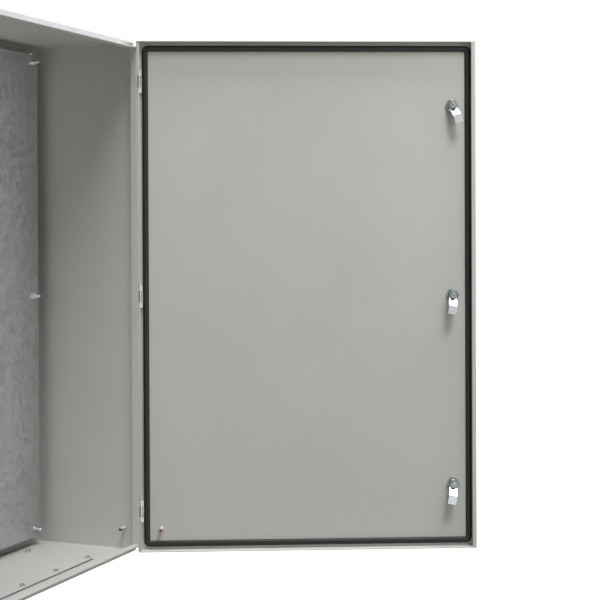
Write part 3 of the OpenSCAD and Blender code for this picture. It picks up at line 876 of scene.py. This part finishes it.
def gland_screw():
    """A hexagon screw with a washer face, from its tip up."""
    flange = revolved(filleted([(0, 0, 0), (6, 0, 0.3), (6, 1, 0.4), (0, 1, 0)], steps=3))
    shank = revolved([(0, -5.3), (2.6, -5.3), (3, -4.9), (3, 0), (0, 0)])
    return piece("gland_screw", [flange, shank, hexagon(flats=10, z0=1, z1=5)])


plate_studs = [(x, z) for x in (-PLATE_STUD_X, PLATE_STUD_X) for z in (-PLATE_STUD_Z, 0, PLATE_STUD_Z)]
finish_piece(joined("plate_stud_set", plate_stud(), [at(x, 0, z, 90) for x, z in plate_studs]),
             "enclosure", "fastener_zinc", "plate_studs")
finish_piece(joined("plate_nut_set", flange_nut(), [at(x, PLATE_NUT_AT, z, 90) for x, z in plate_studs]),
             "enclosure", "fastener_zinc", "plate_nuts")
finish_piece(joined("gland_screw_set", gland_screw(),
                    [at(x, v, GLAND_SCREW_SEAT - HALF_H) for x, v in GLAND_SCREWS]),
             "enclosure", "fastener_zinc", "gland_screws")
hinge_screw = socket_screw("hinge_screw", head_d=9, head_h=3, shank_d=5, shank_l=4.3, socket=3, depth=1.8)
finish_piece(joined("hinge_screw_set", hinge_screw,
                    [at(HINGE_SCREW_X, STEP_AT - BODY_T, z, -90) for z in HINGE_SCREW_Z]),
             "enclosure", "fastener_zinc", "hinge_screws")

body_stud = earth_stud("body_earth_stud_threaded")
body_stud.matrix_world = at(HALF_W - BODY_T, STEP_AT - BODY_STUD_DEPTH, EARTH_STUD_Z, -90, "Y")
finish_piece(body_stud, "enclosure", "stud_copper", "body_earth_stud")
door_stud = earth_stud("door_earth_stud_threaded")
door_stud.matrix_world = DOOR @ at(HALF_W - DOOR_STUD_INSET, DOOR_IN, EARTH_STUD_Z, -90)
finish_piece(door_stud, "door", "stud_copper", "door_earth_stud")

finish_piece(copy_of("mounting_plate", "mounting_plate_sheet", width=0.5),
             "enclosure", "mounting_plate_zinc", "mounting_plate")
finish_piece(copy_of("gland_plate", "gland_plate_sheet", width=0.4),
             "enclosure", "body_paint", "gland_plate")
finish_piece(copy_of("gland_seal", "gland_seal_strip", width=0.2),
             "enclosure", "gland_rubber", "gland_seal")


# ---------------------------------------------------------------- stage

def floor():
    """A pale floor 0.9 m below the box, as if the box hung on a wall. Near the box it takes the
    box's shadow, and further out it glows as white as the background."""
    drop = 0.9
    reach = 30.0
    shadow_reach, white_from = 2.5, 7.0
    near_glow, far_glow = 0.40, 1.0
    mesh = bpy.data.meshes.new("floor")
    mesh.from_pydata([(-reach, -reach, 0), (reach, -reach, 0), (reach, reach, 0), (-reach, reach, 0)], [],
                     [(0, 1, 2, 3)])
    obj = bpy.data.objects.new("floor", mesh)
    obj.location.z = -HALF_H * MM - drop
    bpy.context.scene.collection.objects.link(obj)
    material = bpy.data.materials.new("floor_white")
    material.use_nodes = True
    nodes, links = material.node_tree.nodes, material.node_tree.links
    nodes.clear()
    seen_diffuse = nodes.new("ShaderNodeBsdfDiffuse")
    seen_diffuse.inputs["Color"].default_value = (0.38, 0.38, 0.38, 1)
    place = nodes.new("ShaderNodeTexCoord")
    away = nodes.new("ShaderNodeVectorMath")
    away.operation = "LENGTH"
    links.new(place.outputs["Object"], away.inputs[0])
    brighten = nodes.new("ShaderNodeMapRange")
    for socket, value in (("From Min", shadow_reach), ("From Max", white_from),
                          ("To Min", near_glow), ("To Max", far_glow)):
        brighten.inputs[socket].default_value = value
    links.new(away.outputs["Value"], brighten.inputs["Value"])
    glow = nodes.new("ShaderNodeEmission")
    links.new(brighten.outputs["Result"], glow.inputs["Strength"])
    seen = nodes.new("ShaderNodeAddShader")
    links.new(seen_diffuse.outputs[0], seen.inputs[0])
    links.new(glow.outputs[0], seen.inputs[1])
    bounce = nodes.new("ShaderNodeBsdfDiffuse")
    bounce.inputs["Color"].default_value = (0.155, 0.15, 0.13, 1)
    mix = nodes.new("ShaderNodeMixShader")
    links.new(direct_view(nodes, links), mix.inputs["Fac"])
    links.new(bounce.outputs[0], mix.inputs[1])
    links.new(seen.outputs[0], mix.inputs[2])
    out = nodes.new("ShaderNodeOutputMaterial")
    links.new(mix.outputs[0], out.inputs["Surface"])
    mesh.materials.append(material)


def direct_view(nodes, links):
    """1 for camera, glossy and transmission rays, which see the white studio, and 0 for the rest."""
    path = nodes.new("ShaderNodeLightPath")
    first = nodes.new("ShaderNodeMath")
    first.operation = "MAXIMUM"
    links.new(path.outputs["Is Camera Ray"], first.inputs[0])
    links.new(path.outputs["Is Glossy Ray"], first.inputs[1])
    second = nodes.new("ShaderNodeMath")
    second.operation = "MAXIMUM"
    links.new(first.outputs[0], second.inputs[0])
    links.new(path.outputs["Is Transmission Ray"], second.inputs[1])
    return second.outputs[0]


def world():
    """A white background that lights the object with a dimmer, even grey."""
    made = bpy.data.worlds.new("studio")
    bpy.context.scene.world = made
    made.use_nodes = True
    nodes, links = made.node_tree.nodes, made.node_tree.links
    nodes.clear()
    fill = nodes.new("ShaderNodeBackground")
    fill.inputs["Color"].default_value = (0.93, 0.97, 1.0, 1)
    fill.inputs["Strength"].default_value = 0.16
    white = nodes.new("ShaderNodeBackground")
    white.inputs["Color"].default_value = (1, 1, 1, 1)
    mix = nodes.new("ShaderNodeMixShader")
    links.new(direct_view(nodes, links), mix.inputs["Fac"])
    links.new(fill.outputs[0], mix.inputs[1])
    links.new(white.outputs[0], mix.inputs[2])
    out = nodes.new("ShaderNodeOutputWorld")
    links.new(mix.outputs[0], out.inputs["Surface"])


def area_light(name, target, direction, distance, size, level, colour, long_axis):
    """A softbox at a distance from the target, with its long side along long_axis. At level 1 a
    white surface that faces it squarely at the target renders white."""
    light = bpy.data.lights.new(name, "AREA")
    light.shape = "RECTANGLE"
    light.size, light.size_y = size
    light.energy = level * (math.pi * distance) ** 2
    light.color = colour
    obj = bpy.data.objects.new(name, light)
    bpy.context.scene.collection.objects.link(obj)
    away = direction.normalized()
    side = (long_axis - away * long_axis.dot(away)).normalized()
    across = away.cross(side)
    turn = Matrix((side, across, away)).transposed().to_4x4()
    obj.matrix_world = Matrix.Translation(target + away * distance) @ turn
    obj.visible_camera = False
    return obj


def flag_off(light, pieces):
    """Keeps the light off the pieces, as a black flag beside a lamp does."""
    shaded = bpy.data.collections.new(light.name + "_flag")
    for obj in pieces:
        shaded.objects.link(obj)
    for member in shaded.collection_objects:
        member.light_linking.link_state = "EXCLUDE"
    light.light_linking.receiver_collection = shaded


floor()
world()

upward = Vector((0, 0, 1))
inward = DOOR.to_3x3() @ Vector((0, 1, 0))
freeward = DOOR.to_3x3() @ Vector((-1, 0, 0))
door_centre = DOOR @ Vector((0, -DOOR_IN * MM, 0))
floor_of_box = Vector((0, -0.15, -HALF_H * MM))
middle = Vector((0, -0.15, 0))

# The key rakes down the open door, a little from the free edge's side
rake = math.radians(32)
aside = math.radians(15)
along_door = upward * math.cos(aside) + freeward * math.sin(aside)
key_direction = inward * math.sin(rake) + along_door * math.cos(rake)
key = area_light("key_softbox", target=door_centre, direction=key_direction, distance=5.0, size=(1.4, 1.1),
                 level=0.50, colour=(1.0, 1.0, 0.985), long_axis=inward)
overhead = area_light("door_softbox", target=floor_of_box, direction=Vector((-0.02, -0.22, 0.97)),
                      distance=14.0, size=(8.8, 4.0), level=0.88, colour=(0.98, 0.99, 1.0),
                      long_axis=freeward)
slanted = area_light("body_softbox", target=floor_of_box, direction=Vector((-0.33, -0.18, 0.93)),
                     distance=14.0, size=(8.8, 4.0), level=1.13, colour=(0.98, 0.99, 1.0),
                     long_axis=freeward)
area_light("rim_softbox", target=Vector((0.1, -0.29, HALF_H * MM)), direction=Vector((0.75, -0.6, 0.22)),
           distance=4.0, size=(1.0, 1.0), level=0.52, colour=(0.84, 0.92, 1.0), long_axis=upward)
fill = area_light("side_fill", target=door_centre, direction=inward * 0.75 + freeward * 0.65 + upward * 0.4,
                  distance=1.8, size=(0.9, 0.9), level=0.14, colour=(1.0, 1.0, 1.0), long_axis=upward)
area_light("back_fill", target=middle, direction=Vector((0.5, 0.8, 0)), distance=4.0, size=(2.5, 2.5),
           level=0.5, colour=(0.97, 0.98, 1.0), long_axis=upward)
for light in (key, overhead, fill):
    flag_off(light, pieces_on["body"])
flag_off(slanted, pieces_on["door"])


def camera():
    """Nearly square to the open door, a little above the middle of the box."""
    lens = bpy.data.cameras.new("camera")
    lens.sensor_width = 36
    lens.lens = 83.46
    lens.shift_x = 0.0316
    lens.shift_y = -0.1028
    lens.clip_end = 200
    obj = bpy.data.objects.new("camera", lens)
    bpy.context.scene.collection.objects.link(obj)
    stand = (-2.4994, -1.8492, 0.1628)
    azimuth, elevation, roll = -67.445, 0.467, -0.25
    obj.matrix_world = (Matrix.Translation(stand)
                        @ Matrix.Rotation(math.radians(azimuth), 4, "Z")
                        @ Matrix.Rotation(math.radians(90 - elevation), 4, "X")
                        @ Matrix.Rotation(math.radians(roll), 4, "Z"))
    bpy.context.scene.camera = obj


camera()
bpy.context.scene.view_settings.view_transform = "Standard"
